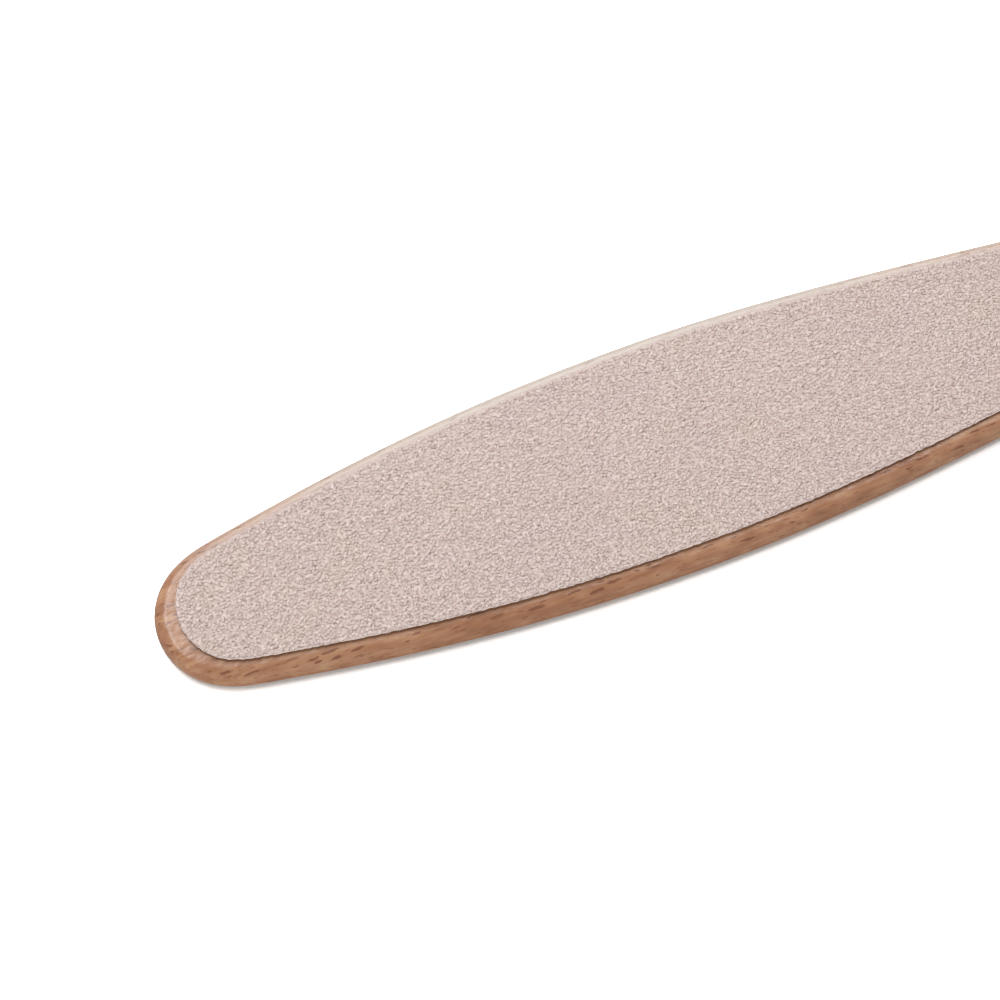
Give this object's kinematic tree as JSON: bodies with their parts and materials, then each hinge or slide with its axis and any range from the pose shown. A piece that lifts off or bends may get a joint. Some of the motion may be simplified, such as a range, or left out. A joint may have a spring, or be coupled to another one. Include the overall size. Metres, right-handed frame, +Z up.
{
  "type": "foot file",
  "caption": "Flat wooden paddle foot file with rounded edges, a waisted handle and an abrasive sheet glued on each face, coarse on top and fine underneath.",
  "frame": {"origin": "under the middle of the length, on the surface that the file lies on", "axes": "+X from the tip of the head to the end of the handle, +Y across the width, +Z up out of the coarse face"},
  "size_m": [0.27, 0.045, 0.0055],
  "materials": {
    "beech": "sanded beech under a thin satin varnish",
    "glue": "dried contact adhesive",
    "backing_paper": "heavy brown paper, matt",
    "bond_resin": "cured resin, satin",
    "coarse_grains": "pinkish grey mineral grains, about P80",
    "fine_grains": "pinkish grey mineral grains, about P150"
  },
  "bodies": {
    "root": {"wood_body": "beech", "coarse_glue_film": "glue", "coarse_backing_paper": "backing_paper", "coarse_bond_coat": "bond_resin", "coarse_grit_layer": "coarse_grains", "fine_glue_film": "glue", "fine_backing_paper": "backing_paper", "fine_bond_coat": "bond_resin", "fine_grit_layer": "fine_grains"}
  },
  "joints": []
}
